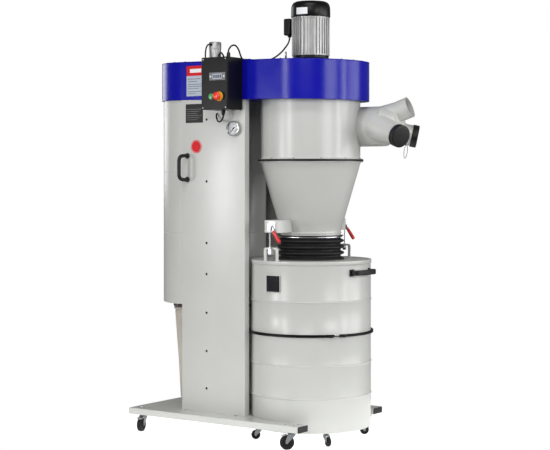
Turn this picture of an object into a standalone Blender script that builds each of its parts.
"""Cyclone dust collector: cyclone and drum on the right, cartridge filter and bag on the left,
a long blower housing over both, on a forked wheeled base. Metres, +Z up, front is -Y.
Sizes below are in millimetres from the cyclone's axis at floor level, and W() puts them in the world."""
import math
import bmesh
import bpy
from mathutils import Matrix, Vector

MM = 0.001
AXIS_X, AXIS_Y = 169.2, 29.0        # cyclone axis from the part's origin
GAP = 0.3                           # clearance between touching pieces

# base
BASE_X0, BASE_X1, BASE_HALF, FORK_W = -818.0, 172.0, 367.0, 78.0
BASE_Z0, BASE_Z1, SHEET = 82.0, 112.0, 3.0
# columns
COL_X0, COL_X1, COL_Y, COL_T = -572.0, -196.0, 262.0, 2.5
# blower housing
HOUSE_Z0, HOUSE_Z1, R_RIGHT, R_LEFT, FILTER_X = 1587.5, 1772.0, 278.0, 262.0, -570.0
SLOPE = 0.018                       # the housing rises this much per unit of length, towards the filter end
# cyclone
BARREL_R, BARREL_Z0, WALL = 235.5, 1315.3, 3.0
CONE_R0, CONE_R1, CONE_Z0, CONE_Z1 = 142.0, 238.0, 958.0, 1304.7
INLET_Y, INLET_Z, INLET_R = 130.0, 1470.0, 94.0
# drum
DRUM_R, DRUM_Z0, DRUM_SPLIT, DRUM_Z1, LID_Z1, BEAD = 285.0, 60.0, 506.0, 826.9, 845.0, 3.0
# filter and bag
FILTER_R, FILTER_Z0, COLLAR_R = 254.0, 618.0, 198.0
# motor
MOTOR_R, MOTOR_Z0, MOTOR_Z1, COWL_Z1 = 90.0, 1779.2, 1988.0, 2064.0
# control box
BOX = ((-351.0, -393.0, 1545.0), (-202.0, -273.0, 1788.0))
# casters: wheel radius, width, trail
BASE_CASTER = (33.0, 22.0, 22.0)
DRUM_CASTER = (21.5, 16.0, 16.0)

for o in list(bpy.data.objects):
    bpy.data.objects.remove(o, do_unlink=True)
main = bpy.data.collections.new("dust_collector")
cutters = bpy.data.collections.new("cutters")
for c in (main, cutters):
    bpy.context.scene.collection.children.link(c)


def W(x, y, z):
    return Vector(((x + AXIS_X) * MM, (y + AXIS_Y) * MM, z * MM))


def finish(name, rgb, rough, metal=0.0):
    m = bpy.data.materials.new(name)
    m.use_nodes = True
    b = m.node_tree.nodes["Principled BSDF"]
    b.inputs["Base Color"].default_value = (*rgb, 1)
    b.inputs["Roughness"].default_value = rough
    b.inputs["Metallic"].default_value = metal
    return m


GREY = finish("grey_paint", (0.60, 0.60, 0.57), 0.35)
BLUE = finish("blue_paint", (0.010, 0.012, 0.30), 0.3)
BLACK = finish("black_plastic", (0.012, 0.012, 0.013), 0.45)
BLACK_PAINT = finish("black_paint", (0.010, 0.009, 0.009), 0.35)
RUBBER = finish("black_rubber", (0.018, 0.017, 0.018), 0.6)
TREAD = finish("tread_rubber", (0.020, 0.020, 0.021), 0.55)
ZINC = finish("zinc", (0.62, 0.66, 0.70), 0.3, 1.0)
ALU = finish("cast_aluminium", (0.55, 0.55, 0.54), 0.35, 1.0)
RED = finish("red_grip", (0.62, 0.010, 0.012), 0.35)
REDP = finish("red_button", (0.75, 0.03, 0.015), 0.3)
GREEN = finish("green_button", (0.08, 0.40, 0.12), 0.3)
CLOTH = finish("bag_fabric", (0.52, 0.47, 0.41), 0.85)
PAPER = finish("filter_media", (0.75, 0.73, 0.66), 0.9)
CLEAR = finish("window_pane", (0.02, 0.02, 0.02), 0.15)
DIAL = finish("gauge_case", (0.70, 0.71, 0.72), 0.25, 1.0)


def put(name, mesh, material, at, rotation=None, smooth=False, coll=None):
    o = bpy.data.objects.new(name, mesh)
    (coll or main).objects.link(o)
    if material and not mesh.materials:
        mesh.materials.append(material)
    o.location = at
    if rotation is not None:
        o.rotation_mode = "QUATERNION"
        o.rotation_quaternion = rotation
    if smooth:
        mesh.shade_smooth()
        mesh.set_sharp_from_angle(angle=math.radians(32))
    return o


def from_bmesh(name, bm):
    mesh = bpy.data.meshes.new(name)
    bm.to_mesh(mesh)
    bm.free()
    return mesh


def box(name, lo, hi, material, bevel=0.0, origin=None, coll=None):
    """A block between two corners, in millimetres from the cyclone axis."""
    lo, hi = W(*lo), W(*hi)
    at = (lo + hi) / 2 if origin is None else W(*origin)
    bm = bmesh.new()
    bmesh.ops.create_cube(bm, size=1)
    bmesh.ops.scale(bm, vec=hi - lo, verts=bm.verts)
    bmesh.ops.translate(bm, vec=(lo + hi) / 2 - at, verts=bm.verts)
    o = put(name, from_bmesh(name, bm), material, at, coll=coll)
    if bevel:
        b = o.modifiers.new("bevel", "BEVEL")
        b.width, b.segments = bevel * MM, 1
    return o


def rod(name, p0, p1, r, material, seg=16, r2=None, coll=None, smooth=True):
    """A cylinder or cone from p0 to p1."""
    a, b = W(*p0), W(*p1)
    bm = bmesh.new()
    bmesh.ops.create_cone(bm, cap_ends=True, segments=seg, radius1=r * MM, radius2=(r if r2 is None else r2) * MM, depth=(b - a).length)
    bmesh.ops.translate(bm, vec=(0, 0, (b - a).length / 2), verts=bm.verts)
    return put(name, from_bmesh(name, bm), material, a, (b - a).to_track_quat("Z", "Y"), smooth, coll)


def turned(name, profile, at, material, steps=32, direction=None, coll=None):
    """A profile of (radius, height) turned about the piece's own Z. It runs down its outer side."""
    area = sum(a[0] * b[1] - b[0] * a[1] for a, b in zip(profile, profile[1:] + profile[:1]))
    if area > 0:
        profile = profile[::-1]
    ring = all(r > 0 for r, _ in profile)
    mesh = bpy.data.meshes.new(name)
    n = len(profile)
    edges = [(i, i + 1) for i in range(n - 1)] + ([(n - 1, 0)] if ring else [])
    mesh.from_pydata([(r * MM, 0, z * MM) for r, z in profile], edges, [])
    o = put(name, mesh, material, W(*at), None if direction is None else Vector(direction).to_track_quat("Z", "Y"), coll=coll)
    s = o.modifiers.new("turn", "SCREW")
    s.axis, s.angle, s.steps, s.render_steps = "Z", 2 * math.pi, steps, steps
    s.use_merge_vertices, s.merge_threshold, s.use_smooth_shade = True, 0.00001, False
    return o


def as_mesh(o):
    """The object with its modifiers, or its curve, made into one welded mesh."""
    bpy.context.view_layer.update()
    made = bpy.data.meshes.new_from_object(o.evaluated_get(bpy.context.evaluated_depsgraph_get()))
    bm = bmesh.new()
    bm.from_mesh(made)
    bmesh.ops.remove_doubles(bm, verts=bm.verts, dist=1e-6)
    bmesh.ops.recalc_face_normals(bm, faces=bm.faces)
    bm.to_mesh(made)
    bm.free()
    return made


def settled(o):
    """Replaces an object by the same object with its modifiers applied."""
    name, mesh = o.name, as_mesh(o)
    at, rot, colls = o.location.copy(), o.rotation_quaternion.copy(), list(o.users_collection)
    quat = o.rotation_mode == "QUATERNION"
    bpy.data.objects.remove(o, do_unlink=True)
    return put(name, mesh, None, at, rot if quat else None, coll=colls[0])


def plate(name, outlines, z0, z1, material, coll=None, at=(0, 0, 0), direction=None):
    """Flat outlines, the first the edge and the others holes, raised from z0 to z1."""
    curve = bpy.data.curves.new(name, "CURVE")
    curve.dimensions, curve.fill_mode, curve.extrude = "2D", "BOTH", (z1 - z0) / 2 * MM
    for line in outlines:
        s = curve.splines.new("POLY")
        s.points.add(len(line) - 1)
        for p, (x, y) in zip(s.points, line):
            p.co = (x * MM, y * MM, 0, 1)
        s.use_cyclic_u = True
    shape = bpy.data.objects.new(name, curve)
    main.objects.link(shape)
    mesh = as_mesh(shape)
    bpy.data.objects.remove(shape, do_unlink=True)
    mesh.transform(Matrix.Translation((0, 0, (z0 + z1) / 2 * MM)))
    return put(name, mesh, material, W(*at), None if direction is None else Vector(direction).to_track_quat("Z", "Y"), coll=coll)


def tube(name, points, r, material, per=3, resolution=2):
    """A bent tube through points, on a smooth curve read from them."""
    pts = [Vector(p) for p in points]
    line = []
    for i in range(len(pts) - 1):
        a, b, c, d = pts[max(i - 1, 0)], pts[i], pts[i + 1], pts[min(i + 2, len(pts) - 1)]
        for k in range(per):
            t = k / per
            line.append(0.5 * (2 * b + (c - a) * t + (2 * a - 5 * b + 4 * c - d) * t * t + (3 * b - a - 3 * c + d) * t ** 3))
    line.append(pts[-1])
    curve = bpy.data.curves.new(name, "CURVE")
    curve.dimensions, curve.bevel_depth, curve.bevel_resolution, curve.use_fill_caps = "3D", r * MM, resolution, True
    s = curve.splines.new("POLY")
    s.points.add(len(line) - 1)
    for p, v in zip(s.points, line):
        p.co = (*W(*v), 1)
    curve.materials.append(material)
    o = bpy.data.objects.new(name, curve)
    main.objects.link(o)
    return o


def boolean(target, tool, operation):
    m = target.modifiers.new(tool.name, "BOOLEAN")
    m.operation, m.solver, m.object = operation, "EXACT", tool
    for c in list(tool.users_collection):
        c.objects.unlink(tool)
    cutters.objects.link(tool)
    tool.hide_render, tool.display_type = True, "WIRE"


def cut(target, *tools):
    for t in tools:
        boolean(target, t, "DIFFERENCE")


def weld(target, *tools):
    for t in tools:
        boolean(target, t, "UNION")


def rise(x):
    return (R_RIGHT - x) * SLOPE


def slope(o, above=1500.0):
    """Tilts what lies above a height along the housing's slope; below it nothing moves."""
    o = settled(o)
    x0, z0 = o.location.x / MM - AXIS_X, o.location.z / MM
    for v in o.data.vertices:
        if v.co.z / MM + z0 > above:
            v.co.z += rise(v.co.x / MM + x0) * MM
    return o


def circle(r, n, cx=0.0, cy=0.0, a0=0.0, a1=2 * math.pi, ends=False):
    m = n if not ends else n - 1
    return [(cx + r * math.cos(a0 + (a1 - a0) * k / m), cy + r * math.sin(a0 + (a1 - a0) * k / m)) for k in range(n)]


def stadium(extra, n=18):
    """The blower housing's outline: two round ends joined by straight tangent walls."""
    r1, r2, d = R_RIGHT + extra, R_LEFT + extra, -FILTER_X
    a = math.acos((r2 - r1) / -d)          # angle of the tangent points on both circles
    a = math.pi - a if a < math.pi / 2 else a
    lean = math.acos((r1 - r2) / d)
    up = lean                              # measured from +X towards +Y, tilted to the larger end
    right = circle(r1, n, 0, 0, -(math.pi - up), math.pi - up, True) if up > math.pi / 2 else circle(r1, n, 0, 0, -up, up, True)
    left = circle(r2, n, FILTER_X, 0, up, 2 * math.pi - up, True)
    return right + left


def star(n, r_out, r_in, duty=0.5):
    """A ring of n flat-topped fins."""
    line = []
    for k in range(n):
        a, w = 2 * math.pi * k / n, 2 * math.pi / n
        for f, r in ((0.0, r_in), (0.5 - duty / 2, r_in), (0.5 - duty / 2 + 0.06, r_out), (0.5 + duty / 2 - 0.06, r_out), (0.5 + duty / 2, r_in)):
            if f:
                line.append((r * math.cos(a + f * w), r * math.sin(a + f * w)))
    return line


# ---------------------------------------------------------------- base
def fork_outline(inset, x1):
    """The base seen from above: a deck with a round-ended slot for the drum between two forks."""
    y, x0, slot = BASE_HALF - inset, BASE_X0 + inset, BASE_HALF - FORK_W + inset
    arc = circle(slot, 25, 0, 0, 1.5 * math.pi, 0.5 * math.pi, True)
    return [(x0, -y), (x1, -y), (x1, -slot)] + arc + [(x1, slot), (x1, y), (x0, y)]


base = plate("base_frame", [fork_outline(0, BASE_X1)], BASE_Z0, BASE_Z1, GREY)
cut(base, plate("base_hollow", [fork_outline(SHEET, BASE_X1 - SHEET)], BASE_Z0 - 10, BASE_Z1 - SHEET, None))
for side, s in (("front", -1), ("rear", 1)):
    ys = sorted((s * (BASE_HALF - 0.5), s * (BASE_HALF - FORK_W + 0.5)))
    box(f"fork_end_cap_{side}", (BASE_X1 + GAP, ys[0], BASE_Z0 + 0.5), (BASE_X1 + 5, ys[1], BASE_Z1 - 0.5), BLACK, 1.0)

# ---------------------------------------------------------------- columns
z0, z1 = BASE_Z1 + GAP, HOUSE_Z0 - GAP


def channel(s):
    """A folded sheet column in plan: a wide web, a deep flange with a lip at the drum side, a hem at the other."""
    y0, yf, yl, t = s * COL_Y, s * (COL_Y - 34), s * (COL_Y - 8), COL_T
    pts = [(COL_X0, y0), (COL_X1, y0), (COL_X1, yf), (COL_X1 - 14, yf), (COL_X1 - 14, yf + s * t), (COL_X1 - t, yf + s * t),
           (COL_X1 - t, y0 - s * t), (COL_X0 + t, y0 - s * t), (COL_X0 + t, yl), (COL_X0, yl)]
    return pts


slope(plate("front_column", [channel(-1)], z0, z1, GREY))
rear = plate("rear_column", [channel(1)], z0, z1, GREY)
weld(rear, box("column_tie", (-311, -COL_Y + COL_T + GAP, 845), (-308, COL_Y - 1, 887), None))
slope(rear)

# ---------------------------------------------------------------- blower housing
house = plate("blower_housing", [stadium(0), stadium(-SHEET)], HOUSE_Z0, HOUSE_Z1 - 3.3, BLUE)
weld(house, plate("blower_floor", [stadium(-1), circle(97, 32), circle(150, 32, FILTER_X)], HOUSE_Z0, HOUSE_Z0 + SHEET, None))
slope(house)
slope(plate("blower_top_cover", [stadium(0), circle(22, 20), circle(12, 16, FILTER_X)], HOUSE_Z1 - 3, HOUSE_Z1, BLUE))

# ---------------------------------------------------------------- cyclone
barrel = turned("cyclone_barrel", [
    (BARREL_R, HOUSE_Z0 - GAP), (BARREL_R, BARREL_Z0), (BARREL_R - WALL, BARREL_Z0), (BARREL_R - WALL, HOUSE_Z0 - GAP - WALL),
    (98, HOUSE_Z0 - GAP - WALL), (98, 1385), (95, 1385), (95, HOUSE_Z0 - GAP)], (0, 0, 0), GREY)
cut(barrel, rod("inlet_hole", (100, INLET_Y, INLET_Z), (320, INLET_Y, INLET_Z), INLET_R - 3.5, None, 24))
slope(barrel, 1575.0)
turned("cyclone_gasket", [(249, 1315), (249, 1305), (230, 1305), (230, 1315)], (0, 0, 0), RUBBER)

cone = turned("cyclone_cone", [
    (CONE_R1, CONE_Z1), (CONE_R0 + 1, CONE_Z0 + 14), (CONE_R0 + 1, CONE_Z0), (CONE_R0 - 2, CONE_Z0),
    (CONE_R0 - 2, CONE_Z0 + 14), (CONE_R1 - WALL, CONE_Z1)], (0, 0, 0), GREY)
CATCH = {"front": (-40.0, -1), "rear": (14.0, 1)}      # x of each toggle, and its side
PIVOT_Z, FACE_Y = 1004.0, 268.0
for side, (cx, s) in CATCH.items():
    f, b, t = s * FACE_Y, s * 118, 3
    u = [(cx - 40, f), (cx + 40, f), (cx + 40, b), (cx + 40 - t, b), (cx + 40 - t, f - s * t), (cx - 40 + t, f - s * t), (cx - 40 + t, b), (cx - 40, b)]
    bracket = plate(f"toggle_bracket_{side}", [u], 975, 1032, GREY)
    cut(bracket, turned(f"cone_inside_{side}", [(0, 1050), (CONE_R0 + 24.3, 1050), (CONE_R0 - 1, CONE_Z0 + 14), (CONE_R0 - 1, 940), (0, 940)], (0, 0, 0), None))
    weld(bracket, rod(f"pivot_boss_{side}", (cx, s * (FACE_Y - 1), PIVOT_Z), (cx, s * (FACE_Y + 4), PIVOT_Z), 10, None, 16))
    bracket = settled(bracket)
    weld(cone, bracket)

# ---------------------------------------------------------------- inlet manifold
PORTS = {  # start offset across the collar (y, z), direction, length of pipe
    "open": ((12, 44), (0.90, 0.20, 0.36), 122.0),
    "front": ((-44, -8), (0.902, -0.297, -0.30), 148.0),
    "side": ((41, -22), (0.84, 0.50, -0.20), 130.0),
}
PORT_R, COLLAR_END = 49.0, 334.0


def port_line(key):
    (oy, oz), d, length = PORTS[key]
    d = Vector(d).normalized()
    s = Vector((COLLAR_END, INLET_Y + oy, INLET_Z + oz))
    return s, d, s + d * length


def manifold_shape(tag, thin, past):
    """Collar, tapered branch body and three pipes; `past` opens the ends of the hollow."""
    end = COLLAR_END + 74 - thin
    parts = [rod(f"collar_{tag}", (60 - past, INLET_Y, INLET_Z), (COLLAR_END + 1, INLET_Y, INLET_Z), INLET_R - thin, None, 24),
             rod(f"transition_{tag}", (COLLAR_END - 3 - thin, INLET_Y, INLET_Z), (end, INLET_Y + 6, INLET_Z), INLET_R - thin - 1.2, None, 24, 66 - thin)]
    for key in PORTS:
        s, d, e = port_line(key)
        parts.append(rod(f"port_{key}_{tag}", tuple(s - d * (32 - thin)), tuple(e + d * past), PORT_R - thin, None, 18))
    weld(parts[0], *parts[1:])
    return settled(parts[0])


outer = manifold_shape("outer", 0.0, 0)
cut(outer, manifold_shape("inner", 2.5, 30), rod("barrel_clearance", (0, 0, 1330), (0, 0, 1600), BARREL_R + GAP, None, 32))
outer.name = "inlet_manifold"
outer.data.materials.clear()
outer.data.materials.append(GREY)
outer.data.shade_smooth()
outer.data.set_sharp_from_angle(angle=math.radians(30))

for key in ("front", "side"):
    s, d, e = port_line(key)
    turned(f"port_cap_{key}", [(0, 4), (51.5, 4), (53, 2), (53, -26), (PORT_R + 1.2, -26), (PORT_R + 1.2, 0.5), (0, 0.5)], tuple(e), BLACK, 18, d)

# ---------------------------------------------------------------- bellows and lid
ridges = [(156, 843.4), (158, 858), (142, 877), (160, 894), (142, 911), (152, 926), (143, 940), (147, 950), (147, 957.4)]
turned("bellows", ridges + [(r - 4, z) for r, z in ridges[::-1]], (0, 0, 0), RUBBER, 24)

lid = turned("drum_lid", [(288, LID_Z1 - 1), (288, 827.3), (285, 827.3), (285, 840), (130, 840), (130, 843), (284.5, 843), (286, LID_Z1)], (0, 0, 0), GREY)
for side, (cx, s) in CATCH.items():
    y = sorted((s * 268, s * 272))
    strap = box(f"catch_{side}", (cx - 40, y[0], 842), (cx + 40, y[1], 906), GREY)
    cut(strap, box(f"catch_window_{side}", (cx - 26, y[0] - 5, 843), (cx + 26, y[1] + 5, 898), None))
    weld(lid, settled(strap))

# ---------------------------------------------------------------- toggle levers and pull rods
LEAN = math.radians(36)
for side, (cx, s) in CATCH.items():
    ux, uz = math.sin(LEAN), -math.cos(LEAN)
    y_in, y_mid, y_out = s * (FACE_Y + 4.4), s * (FACE_Y + 8.4), s * (FACE_Y + 17)
    hub = rod(f"toggle_lever_{side}", (cx, y_in, PIVOT_Z), (cx, y_mid, PIVOT_Z), 11, RED, 16)
    arm = plate(f"arm_{side}", [[(-5, -5), (34, -5), (34, 5), (-5, 5)]], 0, 3.6, None)
    arm.rotation_mode = "XYZ"
    arm.location = W(cx, min(y_in, y_mid) + 3.8, PIVOT_Z)
    arm.rotation_euler = (math.radians(90), -math.atan2(uz, ux), 0)
    yc = s * (FACE_Y + 11)
    grip = rod(f"grip_{side}", (cx + ux * 26, yc, PIVOT_Z + uz * 26), (cx + ux * 98, yc, PIVOT_Z + uz * 98), 6.2, None, 12, 7.5)
    weld(hub, arm, grip)
    yr = s * (FACE_Y + 12.4)
    pull = rod(f"toggle_rod_{side}", (cx, yr, 900), (cx, yr, 988), 2.6, ZINC, 10)
    ya, yb, yt = s * (FACE_Y + 5.4), s * (FACE_Y + 15.4), s * 260
    block = box(f"hook_block_{side}", (cx - 8, min(ya, yb), 876), (cx + 8, max(ya, yb), 904), None)
    tongue = box(f"hook_tongue_{side}", (cx - 7, min(yt, ya) - 0.0, 886), (cx + 7, max(yt, ya) + 1.0, 897.6), None)
    if s < 0:
        tongue.location.y -= 0.002
    head = box(f"rod_head_{side}", (cx - 6, min(s * (FACE_Y + 9.2), yb), 984), (cx + 6, max(s * (FACE_Y + 9.2), yb), 1006), None)
    weld(pull, block, tongue, head)

# ---------------------------------------------------------------- drum
def beads(*heights):
    out = []
    for h in heights:
        out += [(DRUM_R, h + 8), (DRUM_R + BEAD, h), (DRUM_R, h - 8)]
    return out


turned("drum_lower", [(0, DRUM_Z0 + 3), (282, DRUM_Z0 + 3), (282, DRUM_SPLIT), (292, DRUM_SPLIT), (292, DRUM_SPLIT - 3), (DRUM_R, DRUM_SPLIT - 3)]
       + beads(366, 216) + [(DRUM_R, DRUM_Z0), (0, DRUM_Z0)], (0, 0, 0), GREY)
upper = turned("drum_upper", [(DRUM_R, DRUM_Z1)] + beads(658) + [(DRUM_R, 509.5), (292, 509.5), (292, 506.4), (282, 506.4), (282, DRUM_Z1)], (0, 0, 0), GREY)
cut(upper, box("window_hole", (-47, -300, 709), (17, -260, 774), None))
ring = turned("drum_clamp_ring", [(297, 513), (297, 500), (288.5, 500), (288.5, 502.7), (292.4, 502.7), (292.4, 509.8), (288.5, 509.8), (288.5, 513)], (0, 0, 0), BLACK_PAINT)
a = math.radians(-32.4)
rad, tan = Vector((math.cos(a), math.sin(a), 0)), Vector((-math.sin(a), math.cos(a), 0))


def at_ring(r, t, z):
    v = rad * r + tan * t
    return (v.x, v.y, z)


gap_tool = rod("ring_gap", at_ring(286, 0, 506.5), at_ring(303, 0, 506.5), 14, None, 12)
cut(ring, gap_tool)
for k, t in (("a", -30), ("b", 30)):
    weld(ring, rod(f"ring_lug_{k}", at_ring(300.5, t - 7, 506.5), at_ring(300.5, t + 7, 506.5), 7.5, None, 12))
weld(ring, rod("ring_bolt", at_ring(302.5, -46, 506.5), at_ring(302.5, 46, 506.5), 3, None, 8))
box("drum_window", (-53, -291, 703), (23, -285.4, 780), CLEAR, 1.0)
bow = [(276, -88), (300, -88), (317, -74), (321, -56), (321, 56), (317, 74), (300, 88), (276, 88),
       (276, 62), (296, 62), (304, 56), (306, 46), (306, -46), (304, -56), (296, -62), (276, -62)]
handle = plate("drum_handle", [bow], 778, 804, BLACK)
cut(handle, rod("drum_clearance", (0, 0, 700), (0, 0, 850), DRUM_R + GAP, None, 96))

# ---------------------------------------------------------------- casters
def caster(prefix, places, size, top, neck_r):
    """Swivel fork with its axle, and the wheel on it. Local +X is the trail direction, the origin is on the swivel axis."""
    r, width, trail = size
    half, t, crown = width / 2 + 1.2, 2.4, r * 2 + 3.0
    cheek = [(-neck_r * 0.8, crown + 1.1), (neck_r * 0.9, crown + 1.1), (trail + 7, r + 3), (trail + 5, r - 6), (trail - 6, r - 6), (-neck_r * 0.5, crown - 9)]

    def here(o):
        o.location = o.location - W(0, 0, 0)
        return o

    fork = here(rod("fork_neck", (0, 0, crown + 1.7), (0, 0, top), neck_r, ZINC, 10))
    tools = [here(box("fork_crown", (-neck_r - 1.3, -half - t - 0.4, crown), (neck_r + 2.3, half + t + 0.4, crown + 3.2), None))]
    for k, y in (("l", -half - t), ("r", half)):
        c = plate(f"fork_cheek_{k}", [cheek], 0, t, None)
        c.data.transform(Matrix.Translation((0, (y + t) * MM, 0)) @ Matrix.Rotation(math.radians(90), 4, "X"))
        c.location = (0, 0, 0)
        tools.append(c)
    tools.append(here(rod("fork_axle", (trail, -half - t - 1.5, r), (trail, half + t + 1.5, r), 4, None, 8)))
    weld(fork, *tools)
    shape = as_mesh(fork)
    shape.transform(fork.matrix_world)
    shape.materials.clear()
    shape.materials.append(ZINC)
    bpy.data.objects.remove(fork, do_unlink=True)
    for o in tools:
        bpy.data.objects.remove(o, do_unlink=True)
    w = width / 2
    profile = [(r - 3, w), (r, w - 4), (r, -w + 4), (r - 3, -w), (4.35, -w), (4.35, w)]
    for n, (x, y, yaw) in enumerate(places, 1):
        f = put(f"{prefix}_caster_fork_{n}", shape.copy(), None, W(x, y, 0))
        f.rotation_euler = (0, 0, yaw)
        turned(f"{prefix}_caster_wheel_{n}", profile, (x + math.cos(yaw) * trail, y + math.sin(yaw) * trail, r), TREAD, 16, (-math.sin(yaw), math.cos(yaw), 0))


OBLIQUE = math.atan2(0.572, 0.82)
caster("base", [(-760, -326, math.radians(-75)), (115, -328, OBLIQUE + math.pi), (115, 328, math.radians(150)), (-760, 326, math.radians(200))],
       BASE_CASTER, BASE_Z1 - SHEET - GAP, 17)
spots = [math.radians(-40 + 90 * k) for k in range(4)]
yaws = [math.radians(-28), OBLIQUE, math.radians(160), OBLIQUE + math.pi]
caster("drum", [(252 * math.cos(q), 252 * math.sin(q), yw) for q, yw in zip(spots, yaws)], DRUM_CASTER, DRUM_Z0 - GAP, 13)

# ---------------------------------------------------------------- motor and impeller
motor = plate("motor_housing", [star(18, MOTOR_R, MOTOR_R - 7), circle(15, 12)], 1792, MOTOR_Z1, ALU)
weld(motor, plate("motor_flange", [circle(93, 24), circle(15, 12)], MOTOR_Z0, 1806, None))
turned("motor_fan_cowl", [(0, COWL_Z1), (62, COWL_Z1), (84, COWL_Z1 - 6), (92, COWL_Z1 - 22), (93.5, COWL_Z1 - 40), (93.5, MOTOR_Z1 + 0.4), (91, MOTOR_Z1 + 0.4),
                         (91, COWL_Z1 - 41), (89.5, COWL_Z1 - 23), (82.5, COWL_Z1 - 8.6), (61, COWL_Z1 - 3), (0, COWL_Z1 - 3)], (0, 0, 0), BLACK_PAINT, 24)
box("motor_terminal_box", (-131, -42, 1907), (-90.6, 42, 1988), BLACK_PAINT, 4.0)
turned("motor_shaft", [(0, 2038), (18, 2038), (18, 2020), (76, 2016), (76, 2012), (18, 2008), (14, 2004), (14, 1640), (0, 1640)], (0, 0, 0), ALU, 24)
blades = []
for k in range(8):
    q = math.pi / 4 * k
    blades += [(40 * math.cos(q - 0.32), 40 * math.sin(q - 0.32)), (182 * math.cos(q - 0.012), 182 * math.sin(q - 0.012)),
               (182 * math.cos(q + 0.012), 182 * math.sin(q + 0.012)), (40 * math.cos(q + 0.1), 40 * math.sin(q + 0.1))]
impeller = plate("impeller", [blades, circle(15.2, 12)], 1650, 1722, ALU)
weld(impeller, plate("impeller_disc", [circle(188, 24), circle(15.2, 12)], 1720, 1724, None))

# ---------------------------------------------------------------- filter
fx = FILTER_X
turned("filter_housing", [(FILTER_R, HOUSE_Z0 - GAP), (FILTER_R, FILTER_Z0), (COLLAR_R, FILTER_Z0), (COLLAR_R, 592), (COLLAR_R - 2.5, 592),
                         (COLLAR_R - 2.5, FILTER_Z0 + 2.5), (FILTER_R - 2.5, FILTER_Z0 + 2.5), (FILTER_R - 2.5, HOUSE_Z0 - GAP)], (fx, 0, 0), GREY)
slope(bpy.data.objects["filter_housing"])
slope(plate("filter_cartridge", [star(24, 232, 200, 0.6), circle(165, 24)], FILTER_Z0 + 3, HOUSE_Z0 - GAP - 0.2, PAPER, at=(fx, 0, 0)))
turned("cleaning_motor", [(0, 1903), (28, 1903), (31.5, 1899), (31.5, 1795), (45, 1795), (45, 1788.6), (9, 1788.6), (9, 1815), (0, 1815)], (fx, 0, 0), BLACK_PAINT, 18)
shaft = rod("cleaner_shaft", (fx, 0, 700), (fx, 0, 1812), 8, ZINC, 16)
weld(shaft, box("flapper_a", (fx - 150, -2, 760), (fx + 150, 2, 1480), None), box("flapper_b", (fx - 2.2, -150, 762), (fx + 2.2, 150, 1478), None))
bag_out = [(COLLAR_R + 3.6, 616), (COLLAR_R + 3.6, 590), (193, 575), (185, 420), (173, 165), (150, 135), (95, 124), (0, 122)]
bag_in = [(max(r - 2.2, 0), z + (2.2 if r < 170 else 0)) for r, z in bag_out]
bag_in[0], bag_in[-1] = (COLLAR_R + 1.4, 616), (0, 124.2)
turned("collection_bag", bag_out[::-1] + bag_in, (fx, 0, 0), CLOTH)
turned("bag_clamp_band", [(COLLAR_R + 7, 615), (COLLAR_R + 7, 596), (COLLAR_R + 4.0, 596), (COLLAR_R + 4.0, 615)], (fx, 0, 0), RUBBER)

# ---------------------------------------------------------------- controls
(bx0, by0, bz0), (bx1, by1, bz1) = BOX
START, STOP = (-293.0, 1605.0), (-247.0, 1605.0)
ctrl = box("control_box", BOX[0], BOX[1], BLACK_PAINT)
cut(ctrl, box("box_inside", (bx0 + 2.5, by0 + 2.5, bz0 + 2.5), (bx1 - 2.5, by1 + 20, bz1 - 2.5), None),
    rod("start_hole", (START[0], by0 - 10, START[1]), (START[0], by0 + 10, START[1]), 11.4, None, 20),
    rod("stop_hole", (STOP[0], by0 - 10, STOP[1]), (STOP[0], by0 + 10, STOP[1]), 11.4, None, 20))
TOP_GLAND, LOW_GLAND = (-224.0, -352.0), (-292.0, -302.0)
weld(ctrl, rod("gland_top", (*TOP_GLAND, bz1 - 1), (*TOP_GLAND, bz1 + 24), 10, None, 12, 8), rod("gland_low", (*LOW_GLAND, bz0 + 1), (*LOW_GLAND, bz0 - 24), 10, None, 12, 8))
turned("start_button", [(0, 9), (10, 9), (11, 8), (11, -14), (0, -14)], (START[0], by0, START[1]), GREEN, 20, (0, -1, 0))
turned("stop_button", [(0, 32), (12, 31), (18, 28), (20, 23), (19, 19), (9, 17), (9, -14), (0, -14)], (STOP[0], by0, STOP[1]), REDP, 24, (0, -1, 0))
GX, GZ = -252.0, 1460.0
turned("pressure_gauge", [(0, 12), (31.5, 12), (31.5, 21), (33, 23), (35, 23), (36, 21), (36, GAP), (0, GAP)], (GX, -COL_Y, GZ), DIAL, 20, (0, -1, 0))
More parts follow.
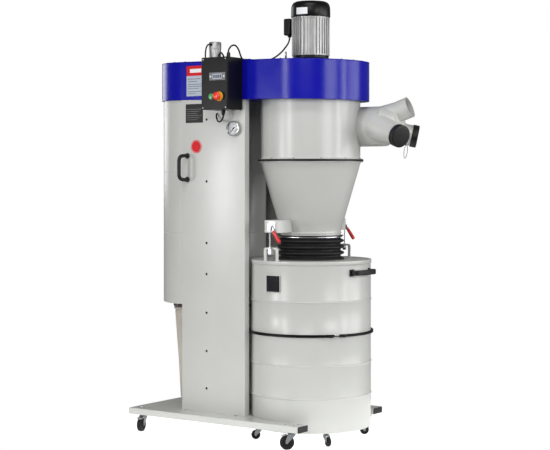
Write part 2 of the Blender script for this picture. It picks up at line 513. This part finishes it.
needle = rod("gauge_needle", (GX, -COL_Y - 12.4, GZ), (GX, -COL_Y - 16.5, GZ), 3.5, BLACK, 12)
ptr = plate("needle_pointer", [[(-2.2, -9), (2.2, -9), (0.7, 26), (-0.7, 26)]], 0, 1.2, None)
ptr.rotation_mode = "XYZ"
ptr.rotation_euler = (math.radians(90), math.radians(-135), 0)
ptr.location = W(GX, -COL_Y - 14.0, GZ)
weld(needle, ptr)
hx = -537.0
tube("push_handle", [(hx, -COL_Y - GAP, 1334), (hx, -300, 1334), (hx, -322, 1328), (hx, -328, 1310), (hx, -328, 1245), (hx, -322, 1226), (hx, -300, 1220), (hx, -COL_Y - GAP, 1220)], 9, BLACK, 2)

# ---------------------------------------------------------------- leads fixed between their glands

def on_top(x, y, lift=0.0):
    return (x, y, HOUSE_Z1 + 5.6 + rise(x) + lift)


gx, gy = TOP_GLAND
tube("motor_cable", [(gx, gy, bz1 + 24.4), (gx, gy + 3, 1824), (gx, gy + 24, 1842), (gx - 1, gy + 55, 1846), (gx - 2, gy + 82, 1828), (gx - 3, gy + 98, 1804), on_top(gx - 4, gy + 116),
                     on_top(gx - 2, gy + 150), on_top(-200, -150), on_top(-170, -95, 5), (-142, -50, 1822), (-118, -22, 1866), (-112, -14, 1892), (-112, -14, 1905.6)], 4, RUBBER, 2)
tube("cleaner_cable", [(fx, -34.2, 1888), (fx - 2, -42, 1889), (fx - 14, -46, 1882), (fx - 22, -48, 1856), (fx - 20, -52, 1816), on_top(fx - 8, -66), on_top(fx + 40, -110),
                       on_top(-440, -170), on_top(-350, -225), (-324, -256, 1802), (-319, -282, 1818), (-318, -299, 1809), (-318, -300, bz1 + 0.6)], 4, RUBBER, 2)
lx, ly = LOW_GLAND
tube("control_loop_cable", [(lx, ly, bz0 - 24.4), (lx - 2, ly, 1510), (lx - 18, ly + 4, 1494), (lx - 42, ly + 14, 1496), (lx - 60, ly + 26, 1518), (lx - 64, ly + 35.4, 1534)], 4, RUBBER, 2)
